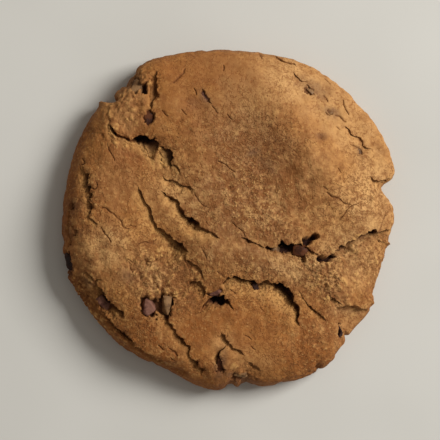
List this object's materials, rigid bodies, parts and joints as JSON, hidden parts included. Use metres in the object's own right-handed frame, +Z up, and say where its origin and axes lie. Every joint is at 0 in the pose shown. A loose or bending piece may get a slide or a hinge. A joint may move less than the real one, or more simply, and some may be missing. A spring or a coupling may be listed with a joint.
{
  "type": "soft chocolate chunk cookie",
  "caption": "Thick soft-baked cookie with a domed, deeply cracked top, a rounded uneven rim, a flat base and chocolate chunks set in its cracks.",
  "frame": {"origin": "middle of the flat base, centred on the outline's box, at the height of the base", "axes": "+Z up out of the cracked top; +Y towards the smooth unbroken rim, away from the two long cracks that cross the near half; +X to the right when the top is looked down on with +Y away"},
  "size_m": [0.0846, 0.0866, 0.014],
  "materials": {
    "dough": "baked golden brown dough, dry and sandy, rougher and paler inside the cracks",
    "chocolate": "broken milk and dark chocolate with a dull mauve bloom"
  },
  "bodies": {
    "root": {"dough": "dough", "chunk_far_left_rim": "chocolate", "chunk_far_left": "chocolate", "chunk_far_plate": "chocolate", "chunk_far_rim": "chocolate", "chunk_far_right": "chocolate", "chunk_right_rim": "chocolate", "chunk_cavity_left": "chocolate", "chunk_cavity_right": "chocolate", "chunk_near_left": "chocolate", "chunk_near_left_twin": "chocolate", "chunk_left_cavity": "chocolate", "chunk_left_rim": "chocolate", "chunk_near_cavity": "chocolate", "chunk_arc": "chocolate", "chunk_near_rim": "chocolate", "chunk_near_rim_twin": "chocolate", "chunk_right_near": "chocolate"}
  },
  "joints": []
}
